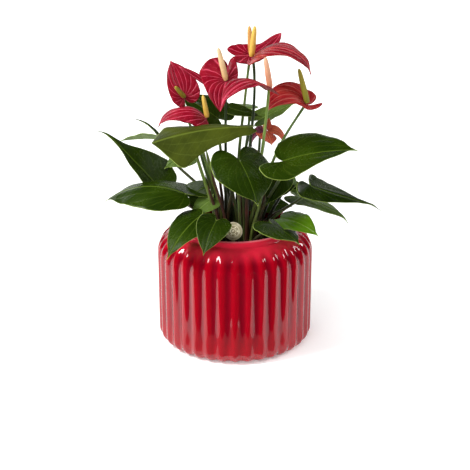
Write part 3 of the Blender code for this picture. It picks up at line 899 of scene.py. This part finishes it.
def tube(name, points, radii):
    curve = bpy.data.curves.new(name, "CURVE")
    curve.dimensions = "3D"
    curve.bevel_depth = 1 * mm
    curve.bevel_resolution = stalkLook["tubeCorners"]
    curve.use_fill_caps = True
    spline = curve.splines.new("POLY")
    spline.points.add(len(points) - 1)
    for point, place, radius in zip(spline.points, points, radii):
        point.co = (*place, 1)
        point.radius = radius
    holder = bpy.data.objects.new(name, curve)
    bpy.context.collection.objects.link(holder)
    bpy.context.view_layer.update()
    mesh = bpy.data.meshes.new_from_object(holder.evaluated_get(bpy.context.evaluated_depsgraph_get()))
    bpy.data.objects.remove(holder)
    bpy.data.curves.remove(curve)
    bm = bmesh.new()
    bm.from_mesh(mesh)
    bpy.data.meshes.remove(mesh)
    clean(bm, 0.000002)
    return newPiece(name, bm)


def stalk(name, leaf, root, thickness, swelling, rng):
    bends = stalkPath(leaf, root)
    count = stalkLook["rings"]
    points = []
    radii = []
    sway = Vector((rng.uniform(-1, 1), rng.uniform(-1, 1), 0)) * stalkLook["sway"]
    for number in range(count + 1):
        t = number / count
        points.append(bezier(bends, t) + sway * math.sin(math.pi * t) * math.sin(math.tau * t))
        radius = thickness * (1.2 - 0.38 * t)
        # the sheathing foot, then the knee below the blade
        radius *= 1 + 0.9 * math.exp(-(t / 0.05) ** 2)
        radius *= 1 + swelling * math.exp(-((t - 0.93) / 0.045) ** 2)
        radii.append(radius)
    return tube(name, points, radii)


def stalkSkin(name, low, high, flush):
    # colour at the soil, colour higher up, patches
    look = Finish(name)
    spot = look.place()
    _, _, height = look.axes(spot)
    streak = look.noise(look.stretched((700, 700, 25)), 1, 4)
    patch = look.noise(spot, 60, 3)
    climb = look.ease(height, 0.13, 0.24)
    colour = look.mix(climb, low, high)
    colour = look.mix(look.ease(patch, 0.5, 0.75) * 0.6, colour, flush)
    colour = look.mix(look.ease(streak, 0.45, 0.7) * 0.35, colour, [min(1, p * 1.6) for p in high])
    look.set(Base_Color=colour, Roughness=look.ease(streak, 0.3, 0.7, 0.3, 0.45), IOR=1.42,
             Normal=look.bump(streak, 0.0002, 0.5))
    return look.material


# leaves
leafGreens = {
    # top dark, top light, vein, under dark, under light
    "deep": ((0.007, 0.018, 0.0006), (0.016, 0.034, 0.001), (0.055, 0.09, 0.008),
             (0.055, 0.11, 0.028), (0.09, 0.155, 0.045)),
    "mid": ((0.009, 0.023, 0.0006), (0.022, 0.046, 0.001), (0.07, 0.11, 0.010),
            (0.07, 0.14, 0.03), (0.11, 0.19, 0.05)),
    "fresh": ((0.05, 0.13, 0.002), (0.09, 0.19, 0.004), (0.15, 0.24, 0.03),
              (0.10, 0.19, 0.03), (0.15, 0.25, 0.05)),
    "olive": ((0.024, 0.034, 0.002), (0.055, 0.072, 0.004), (0.09, 0.12, 0.016),
              (0.06, 0.09, 0.006), (0.10, 0.13, 0.014)),
    # a lighter copy of the greens: on the leaves it is painted sheen, on the small blades it is their paler
    # undersides
    "pale": ((0.06, 0.11, 0.014), (0.10, 0.16, 0.028), (0.15, 0.22, 0.05),
             (0.09, 0.15, 0.03), (0.13, 0.20, 0.05)),
}
leafShine = {
    # roughness, mirror strength; the olive leaf is duller than the rest
    "olive": (0.5, 0.15),
    "others": (0.18, 0.28),
}
leaves = [
    dict(node=1, at=(-57, -25, 185), root=(-24, -14), heading=168, length=102, half=36, lobe=17,
         pitch=21, bend=-62, roll=12, fold=-13, cup=-4, lift=10, skew=-0.5, green="mid"),
    dict(node=2, at=(-93, 30, 178), root=(-26, 6), heading=180, length=94, half=34, left=0.5, lobe=24,
         pitch=50, bend=-4, roll=36, fold=8, cup=2, curl=-36, lift=40, outline="tailed", green="deep"),
    dict(node=3, at=(16, -25, 263), root=(-10, -21), heading=-167, length=111, half=37, lobe=10,
         pitch=4, bend=-20, roll=20, twist=14, fold=-26, cup=-4, outline="drooped", green="olive"),
    dict(node=4, at=(5, -50, 232), root=(7, -33), heading=-60, length=58, half=35, left=1.25, lobe=20,
         pitch=-32, bend=-30, fold=-4, cup=-10, green="deep"),
    dict(node=5, at=(53, -55, 233), root=(22, -25), heading=10, length=84, half=33, left=1.12, lobe=18,
         pitch=16, bend=-22, roll=-24, twist=12, fold=8, cup=-6, lift=36, skew=-0.6, green="mid"),
    dict(node=6, at=(86, -15, 191), root=(33, -10), heading=-20, length=86, half=25, lobe=11, pitch=-14,
         bend=8, roll=-10, fold=-7, curl=-40, lift=60, outline="tailed", green="deep"),
    dict(node=7, at=(72, 10, 170), root=(30, 8), heading=-30, length=72, half=17, lobe=12, pitch=-4,
         bend=-22, roll=-2, fold=-8, curl=-30, green="pale"),
    dict(node=8, at=(52, -37, 160), root=(30, -16), heading=-40, length=55, half=22, lobe=6, pitch=8,
         bend=-36, roll=-12, fold=4, cup=-8, green="fresh"),
    dict(node=9, at=(41, -56, 160), root=(18, -42), heading=-42, length=43, half=29, left=0.9, lobe=12,
         pitch=-8, bend=-24, roll=6, fold=-4, cup=-4, green="deep"),
    dict(node=10, at=(-37, -46, 167), root=(-24, -32), heading=-127, length=72, half=26, left=0.78,
         lobe=10, pitch=-8, bend=-42, roll=8, fold=-4, cup=-8, green="mid"),
    dict(node=11, at=(-21, -64, 166), root=(-10, -44), heading=-110, length=48, half=19, lobe=8,
         pitch=-16, bend=-36, roll=14, fold=8, cup=-6, lift=-14, green="deep"),
    dict(node=12, at=(18, 80, 257), root=(5, 22), heading=165, length=36, half=16, lobe=8, pitch=8,
         bend=-20, roll=14, fold=-8, cup=-6, green="pale"),
    dict(node=13, at=(28, 46, 252), root=(20, 20), heading=26, length=52, half=15, lobe=10, pitch=22,
         bend=-10, roll=-16, fold=4, cup=6, green="pale"),
    dict(node=14, at=(-20, 34, 257), root=(-8, 24), heading=152, length=54, half=23, lobe=14, pitch=30,
         bend=-14, roll=34, fold=10, cup=-4, green="deep"),
    dict(node=15, at=(-84, 60, 224), root=(-18, 24), heading=164, length=60, half=20, lobe=14, pitch=2,
         bend=-16, roll=-20, fold=10, green="pale"),
]


def makeLeaves():
    tops = {}
    unders = {}
    for name, (dark, light, vein, underDark, underLight) in leafGreens.items():
        shine = leafShine.get(name, leafShine["others"])
        tops[name] = leafTop("leafTop-" + name, dark, light, vein, *shine)
        unders[name] = leafUnder("leafUnder-" + name, underDark, underLight)
    skins = [stalkSkin(name, *colours) for name, colours in stalkLook["petioleSkins"].items()]
    for leaf in leaves:
        rng = random.Random(leaf["node"])
        shape = {**bladeDefaults, **leaf, "seed": leaf["node"]}
        name = "leaf%02d" % leaf["node"]
        green = leaf["green"]
        makeBlade(name + "Blade", shape, bladeCells["leaf"], [tops[green], unders[green]],
                  ["leaf_%02d_blade" % leaf["node"]])
        stem = stalk(name + "Petiole", shape, leaf["root"], *stalkLook["petiole"], rng)
        finishPiece(stem, [skins[leaf["node"] % 2]],
                    ["leaf_%02d_petiole" % leaf["node"]])
    print("leaves made:", len(leaves))
    return tops, unders


# flowers
spatheReds = {
    # top deep, top bright, vein, worn edge, under dark, under light, under vein
    "bright": ((0.14, 0.0006, 0.007), (0.27, 0.002, 0.014), (0.70, 0.08, 0.14), (0.22, 0.008, 0.016),
               (0.20, 0.022, 0.028), (0.28, 0.05, 0.055), (0.42, 0.13, 0.13)),
    "flame": ((0.15, 0.0008, 0.007), (0.27, 0.003, 0.013), (0.68, 0.10, 0.11), (0.38, 0.08, 0.02),
              (0.24, 0.05, 0.03), (0.34, 0.12, 0.05), (0.46, 0.22, 0.10)),
    "dusky": ((0.22, 0.004, 0.009), (0.34, 0.012, 0.016), (0.55, 0.12, 0.10), (0.30, 0.09, 0.035),
              (0.22, 0.05, 0.035), (0.33, 0.12, 0.07), (0.42, 0.22, 0.12)),
    "plum": ((0.10, 0.012, 0.035), (0.20, 0.03, 0.07), (0.34, 0.12, 0.16), (0.16, 0.03, 0.08),
             (0.16, 0.04, 0.07), (0.26, 0.10, 0.12), (0.38, 0.22, 0.22)),
    "faded": ((0.42, 0.05, 0.03), (0.55, 0.13, 0.07), (0.62, 0.30, 0.14), (0.35, 0.08, 0.12),
              (0.45, 0.14, 0.09), (0.55, 0.26, 0.16), (0.60, 0.38, 0.24)),
}
flowers = [
    dict(node=1, at=(-58, 22, 285), root=(-15, 12), heading=142, length=44, half=20, left=0.8, lobe=10,
         pitch=62, bend=4, roll=34, fold=20, cup=-8, spadix=(24, 40, -120), red="bright", rod="olive",
         stem=0),
    dict(node=2, at=(-10, 7, 307), root=(-11, -2), heading=-100, length=45, half=31, left=0.42, lobe=28,
         pitch=-18, bend=-36, roll=4, fold=14, cup=-6, lift=60, outline="domed", spadix=(38, 76, -160),
         red="bright", rod="cream", stem=1),
    dict(node=3, at=(18, 52, 327), root=(3, 14), heading=28, length=48, half=12, left=1.7, lobe=26,
         pitch=0, bend=58, roll=-34, fold=0, cup=-4, lift=4, outline="waisted", spadix=(32, 86, 180),
         red="bright", rod="orange", stem=0),
    dict(node=4, at=(20, 12, 332), root=(11, 5), heading=-12, length=82, half=26, lobe=5, pitch=46,
         bend=-118, roll=-4, fold=2, cup=-6, spadix=(34, 84, 0), red="flame", rod="yellow", stem=1,
         sway=0.15),
    dict(node=5, at=(37, -26, 305), root=(25, -4), heading=-144, length=74, half=20, lobe=4, pitch=46,
         bend=-104, roll=4, fold=4, cup=-6, spadix=(34, 80, 160), red="bright", rod="pink", stem=2,
         sway=0.1),
    dict(node=6, at=(80, 10, 280), root=(25, 2), heading=-158, length=54, half=24, left=0.34, lobe=19,
         pitch=40, bend=-90, roll=44, fold=4, cup=-6, lift=66, spadix=(40, 74, 160), red="dusky",
         rod="olive", stem=0),
    dict(node=7, at=(-33, 3, 265), root=(-14, -12), heading=-176, length=66, half=16, left=1.5, lobe=3,
         pitch=50, bend=-120, roll=8, fold=-4, cup=-10, lift=50, spadix=(26, 80, 180), red="bright",
         rod="yellow", stem=2),
    dict(node=8, at=(35, 27, 243), root=(20, 8), heading=-76, length=30, half=13, lobe=10, pitch=10,
         bend=-50, roll=10, fold=-10, cup=-10, lift=20, spadix=(9, 60, -120), red="faded", rod="orange",
         stem=0),
]
spadixLook = {
    "radius": 3.3,
    "around": 15,                  # florets round the rod
    "bump": 0.2,                   # mm
    # share of the length, share of the radius
    "taper": [(0, 0.7), (0.1, 0.98), (0.45, 0.97), (0.8, 0.77), (0.93, 0.58), (0.985, 0.3)],
    "colours": {
        # low, high, dot
        "yellow": ((0.62, 0.36, 0.045), (0.72, 0.48, 0.09), (0.42, 0.20, 0.02)),
        "cream": ((0.66, 0.40, 0.16), (0.74, 0.55, 0.32), (0.50, 0.24, 0.09)),
        "olive": ((0.20, 0.19, 0.008), (0.36, 0.28, 0.02), (0.10, 0.09, 0.006)),
        "orange": ((0.55, 0.20, 0.04), (0.66, 0.36, 0.10), (0.36, 0.10, 0.02)),
        "pink": ((0.66, 0.26, 0.14), (0.72, 0.42, 0.26), (0.48, 0.16, 0.08)),
    },
}


def spadixSkin(name, low, high, dot):
    look = Finish(name)
    bud = look.attribute("floret", "Vector")
    rise, climb, _ = look.axes(bud)
    speck = look.noise(look.place(), 300, 3)
    colour = look.mix(climb, low, high)
    colour = look.mix(look.ease(rise, 0.55, 0.1) * 0.7, colour, dot)
    colour = look.mix(look.ease(speck, 0.55, 0.75) * 0.35, colour, [min(1, p * 1.3) for p in high])
    look.set(Base_Color=colour, Roughness=look.ease(speck, 0.3, 0.7, 0.5, 0.65),
             Normal=look.bump(speck, 0.0002, 0.4))
    return look.material


def spadixMesh(name, flower):
    length, pitch, heading = flower["spadix"]
    radius = spadixLook["radius"] * min(1, 0.45 + length / 60)
    keys = spadixLook["taper"]
    rows = max(24, int(length * 2.6))
    profile = [(0, 0)]
    for row in range(rows + 1):
        share = row / rows * keys[-1][0]
        for (lowAt, lowR), (highAt, highR) in zip(keys, keys[1:]):
            if lowAt <= share <= highAt:
                wide = lowR + (highR - lowR) * (share - lowAt) / (highAt - lowAt)
        profile.append((wide * radius, share * length))
    profile += [(0.16 * radius, 0.997 * length), (0, length)]
    bm = spun(profile[::-1], 60)
    bud = bm.verts.layers.float_vector.new("floret")
    around = spadixLook["around"]
    pitchAlong = math.tau * radius / around * 0.9
    for vert in bm.verts:
        turn = math.atan2(vert.co.y, vert.co.x)
        high = vert.co.z / pitchAlong
        wave = math.cos(around * turn + math.pi * high) * math.cos(around * turn - math.pi * high)
        lump = abs(wave) ** 0.6
        reach = math.hypot(vert.co.x, vert.co.y)
        if reach > 0.05:
            grow = 1 + spadixLook["bump"] / reach * (lump - 0.5)
            vert.co.x *= grow
            vert.co.y *= grow
        vert[bud] = (lump, vert.co.z / length, 0)
    pitch = math.radians(pitch)
    heading = math.radians(heading)
    rise = Vector((math.cos(pitch) * math.cos(heading), math.cos(pitch) * math.sin(heading),
                   math.sin(pitch)))
    above = bladeUp(flower)
    tilt = math.sqrt(max(0, 1 - rise.dot(above) ** 2))
    start = Vector(flower["at"]) + above * (0.3 + radius * (0.1 + tilt * 0.6))
    bmesh.ops.rotate(bm, verts=bm.verts, cent=(0, 0, 0), matrix=rise.to_track_quat("Z", "Y").to_matrix())
    bmesh.ops.translate(bm, verts=bm.verts, vec=start)
    bmesh.ops.scale(bm, vec=(mm, mm, mm), verts=bm.verts)
    bmesh.ops.recalc_face_normals(bm, faces=bm.faces)
    return newPiece(name, bm)


def makeFlowers():
    tops = {}
    unders = {}
    for name, (deep, bright, vein, worn, dark, light, underVein) in spatheReds.items():
        tops[name] = spatheTop("spatheTop-" + name, deep, bright, vein, worn)
        unders[name] = spatheUnder("spatheUnder-" + name, dark, light, underVein)
    rods = {name: spadixSkin("spadix-" + name, *colours)
            for name, colours in spadixLook["colours"].items()}
    skins = [stalkSkin(name, *colours) for name, colours in stalkLook["stemSkins"].items()]
    for flower in flowers:
        rng = random.Random(40 + flower["node"])
        shape = {**bladeDefaults, **spatheShape, **flower, "seed": 20 + flower["node"]}
        name = "flower%d" % flower["node"]
        node = "flower_%d_" % flower["node"]
        red = flower["red"]
        makeBlade(name + "Spathe", shape, bladeCells["spathe"], [tops[red], unders[red]],
                  [node + "spathe"])
        rod = spadixMesh(name + "Spadix", shape)
        finishPiece(rod, [rods[flower["rod"]]], [node + "spadix"])
        stem = stalk(name + "Stem", shape, flower["root"], *stalkLook["stem"], rng)
        finishPiece(stem, [skins[flower["stem"]]], [node + "stem"])
    print("flowers made:", len(flowers))
    return tops, unders


# crown
crownLook = {
    "lumpDepth": 0.16,
    "dark": (0.03, 0.022, 0.012),
    "light": (0.13, 0.09, 0.05),
}


def makeCrown():
    low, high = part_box("plant_crown")
    middle = Vector([(a + b) / 2 for a, b in zip(low, high)])
    size = [(b - a) / 2 for a, b in zip(low, high)]
    bm = bmesh.new()
    bmesh.ops.create_uvsphere(bm, u_segments=48, v_segments=24, radius=1)
    for vert in bm.verts:
        lump = 1 - crownLook["lumpDepth"] * abs(noise.fractal(vert.co * 2.2, 1.0, 2.0, 4))
        vert.co = Vector([part * reach * lump for part, reach in zip(vert.co, size)]) + middle
    bmesh.ops.recalc_face_normals(bm, faces=bm.faces)
    piece = newPiece("crownKnuckle", bm)
    bark = soilFinish("crownBark", crownLook["dark"], crownLook["light"])
    finishPiece(piece, [bark], ["plant_crown"])
    print("crown made")


# growth that carries no flower or full leaf: shoots, small blades, old bits
shootLook = {
    # root, top (mm), radius, skin
    "shoots": [
        ((-20, -22), (-45, -20, 236), 2.0, "light"), ((-14, -20), (-33, -16, 238), 1.9, "light"),
        ((-17, -12), (-41, -12, 238), 1.8, "green"), ((-8, -26), (-27, -22, 212), 1.7, "brown"),
        ((-15, -26), (-31, -24, 196), 1.8, "brown"), ((2, -15), (-12, -12, 203), 1.6, "dark"),
        ((4, -18), (-4, -15, 195), 1.7, "green"), ((11, -23), (9, -21, 194), 1.8, "green"),
        ((14, -27), (13, -26, 192), 2.1, "brown"), ((15, -22), (27, -22, 190), 1.9, "light"),
        ((18, -31), (31, -31, 186), 1.8, "light"), ((26, -18), (36, -15, 192), 1.8, "brown"),
        ((28, -12), (45, -9, 190), 1.6, "dark"), ((34, -3), (58, 2, 184), 1.7, "dark"),
        ((2, 6), (3, 9, 208), 1.9, "dark"), ((14, 5), (20, 9, 206), 1.8, "dark"),
        ((-12, 3), (-19, 6, 205), 1.8, "brown"), ((-3, 16), (-8, 22, 214), 1.7, "green"),
        ((8, 14), (12, 22, 216), 1.7, "dark"), ((-22, -4), (-34, -2, 200), 1.7, "dark"),
        ((22, 12), (33, 18, 200), 1.7, "green"), ((-4, -8), (-9, -4, 200), 1.8, "dark"),
        ((8, -8), (6, -3, 198), 1.9, "brown"), ((20, -6), (24, -3, 196), 1.7, "dark"),
    ],
    "skins": {
        # at the soil, higher up, flush
        "light": ((0.06, 0.07, 0.015), (0.16, 0.24, 0.035), (0.12, 0.12, 0.03)),
        "green": ((0.04, 0.04, 0.012), (0.06, 0.11, 0.016), (0.08, 0.05, 0.02)),
        "brown": ((0.035, 0.016, 0.008), (0.075, 0.035, 0.016), (0.10, 0.02, 0.02)),
        "dark": ((0.012, 0.014, 0.005), (0.022, 0.036, 0.008), (0.035, 0.02, 0.01)),
    },
    "sheaths": 22,
    "sheathPaper": ((0.06, 0.03, 0.014), (0.16, 0.09, 0.04), (0.22, 0.14, 0.07)),
}
smallBlades = [
    # narrow strip at the back left, pale undersides, dark blades behind the middle leaves
    dict(name="stripBlade", at=(-91, 58, 230), heading=170, length=34, half=4, pitch=52, bend=-34,
         fold=10, outline="sheath", green="deep"),
    dict(name="paleBladeLeft", at=(-50, 10, 222), heading=-170, length=36, half=15, lobe=6, pitch=-18,
         bend=-20, roll=40, green="pale"),
    dict(name="lobeBladeLeft", at=(-52, -8, 176), heading=10, length=34, half=15, lobe=8, pitch=36,
         bend=-20, roll=-40, green="deep"),
    dict(name="paleBladeLow", at=(-26, -18, 176), heading=-150, length=32, half=14, lobe=6, pitch=-22,
         bend=-20, roll=24, green="pale"),
    dict(name="darkBladeMiddle", at=(54, -20, 202), heading=-130, length=40, half=14, lobe=6, pitch=-34,
         bend=-10, roll=20, green="deep"),
    dict(name="paleBladeRight", at=(50, 2, 200), heading=-20, length=34, half=15, lobe=6, pitch=-34,
         bend=-20, roll=-30, green="pale"),
    dict(name="darkBladeRight", at=(62, -6, 188), heading=-170, length=36, half=12, lobe=6, pitch=-24,
         bend=-20, roll=10, green="deep"),
    dict(name="lobeBladeRight", at=(58, 4, 186), heading=-14, length=26, half=9, lobe=5, pitch=4,
         bend=-20, roll=-24, green="deep"),
    dict(name="rimBladeMiddle", at=(10, 40, 153), heading=16, length=34, half=15, lobe=8, pitch=-6,
         bend=-10, roll=-30, green="deep"),
    dict(name="rimBladeRight", at=(36, 38, 151), heading=6, length=34, half=15, lobe=8, pitch=-4,
         bend=-10, roll=-30, green="deep"),
    dict(name="rimBladeLeft", at=(-30, 36, 152), heading=170, length=32, half=14, lobe=8, pitch=-4,
         bend=-10, roll=30, green="deep"),
    dict(name="backBlade", at=(-6, 40, 268), heading=-20, length=40, half=9, lobe=4, pitch=-14, bend=10,
         roll=-30, green="deep"),
]
oldPetals = [
    # the fading flower's curled ends, and the pinched end beside the second flower
    dict(name="curledPetalLeft", at=(33, 24, 246), heading=-165, length=28, half=6, pitch=0, bend=-110,
         roll=30, fold=24, red="plum"),
    dict(name="curledPetalRight", at=(38, 28, 243), heading=-5, length=26, half=7, pitch=14, bend=-100,
         roll=-30, fold=20, red="faded"),
    dict(name="curledPetalBack", at=(38, 30, 244), heading=60, length=14, half=5, pitch=70, bend=20,
         roll=0, fold=20, red="faded"),
    dict(name="pinchedEnd", at=(-32, 8, 303), heading=170, length=36, half=6, pitch=26, bend=14,
         roll=30, fold=26, red="bright"),
]


def makeShoots(skins):
    look = shootLook
    for number, (root, top, radius, skin) in enumerate(look["shoots"]):
        start = Vector((root[0], root[1], 0)) * mm
        start.z = soilHeight(start.length) - stalkLook["sink"]
        end = Vector(top) * mm
        rise = (end - start).length
        bends = [start, start + Vector((0, 0, 0.4)) * rise, end.lerp(start, 0.35), end]
        points = []
        radii = []
        for step in range(31):
            t = step / 30
            points.append(bezier(bends, t))
            taper = 1 - smoothStep(t, 0.86, 1.02) * 0.93
            radii.append(radius * (1.2 - 0.35 * t) * taper * (1 + 0.8 * math.exp(-(t / 0.06) ** 2)))
        piece = tube("shoot%02d" % (number + 1), points, radii)
        finishPiece(piece, [skins[skin]])


def makeSheaths():
    # dry papery sheaths round the foot of the stalks
    scatter = random.Random(5)
    papery = spatheUnder("sheathPaper", *shootLook["sheathPaper"])
    for number in range(shootLook["sheaths"]):
        turn = scatter.uniform(0, math.tau)
        far = scatter.uniform(6, 33)
        spot = (far * math.cos(turn), far * math.sin(turn))
        blade = {**bladeDefaults, "outline": "sheath", "seed": 60 + number, "veins": 40,
                 "at": (*spot, soilHeight(far * mm) / mm - 1), "heading": math.degrees(turn),
                 "length": scatter.uniform(16, 34), "half": scatter.uniform(2.2, 3.8),
                 "lobe": 1, "pitch": scatter.uniform(72, 84), "bend": -scatter.uniform(4, 30),
                 "fold": 38, "wave": 1.5, "quilt": 0.2, "groove": 0.1, "thick": 0.3}
        makeBlade("sheath%02d" % (number + 1), blade, bladeCells["sheath"],
                  [papery, papery])


def makeSmallBlades(tops, unders):
    for number, leaf in enumerate(smallBlades):
        shape = {**bladeDefaults, "lobe": 1, **leaf, "seed": 40 + number}
        green = leaf["green"]
        makeBlade(leaf["name"], shape, bladeCells["small"], [tops[green], unders[green]])


def makeOldPetals(tops, unders):
    for number, petal in enumerate(oldPetals):
        shape = {**bladeDefaults, "outline": "sheath", "lobe": 1, "wave": 1.6, **petal, "seed": 80 + number}
        red = petal["red"]
        makeBlade(petal["name"], shape, bladeCells["petal"], [tops[red], unders[red]])


def makeGrowth(leafTops, leafUnders, spatheTops, spatheUnders):
    skins = {name: stalkSkin("shoot-" + name, *colours) for name, colours in shootLook["skins"].items()}
    makeShoots(skins)
    makeSheaths()
    makeSmallBlades(leafTops, leafUnders)
    makeOldPetals(spatheTops, spatheUnders)
    print("shoots and small blades made")


makeCamera()
makeLamps()
makeBackdrop()
makeCoverPot()
keepNurseryPot()
makeSoil()
makeCrown()
makeTag()
leafTops, leafUnders = makeLeaves()
spatheTops, spatheUnders = makeFlowers()
makeGrowth(leafTops, leafUnders, spatheTops, spatheUnders)
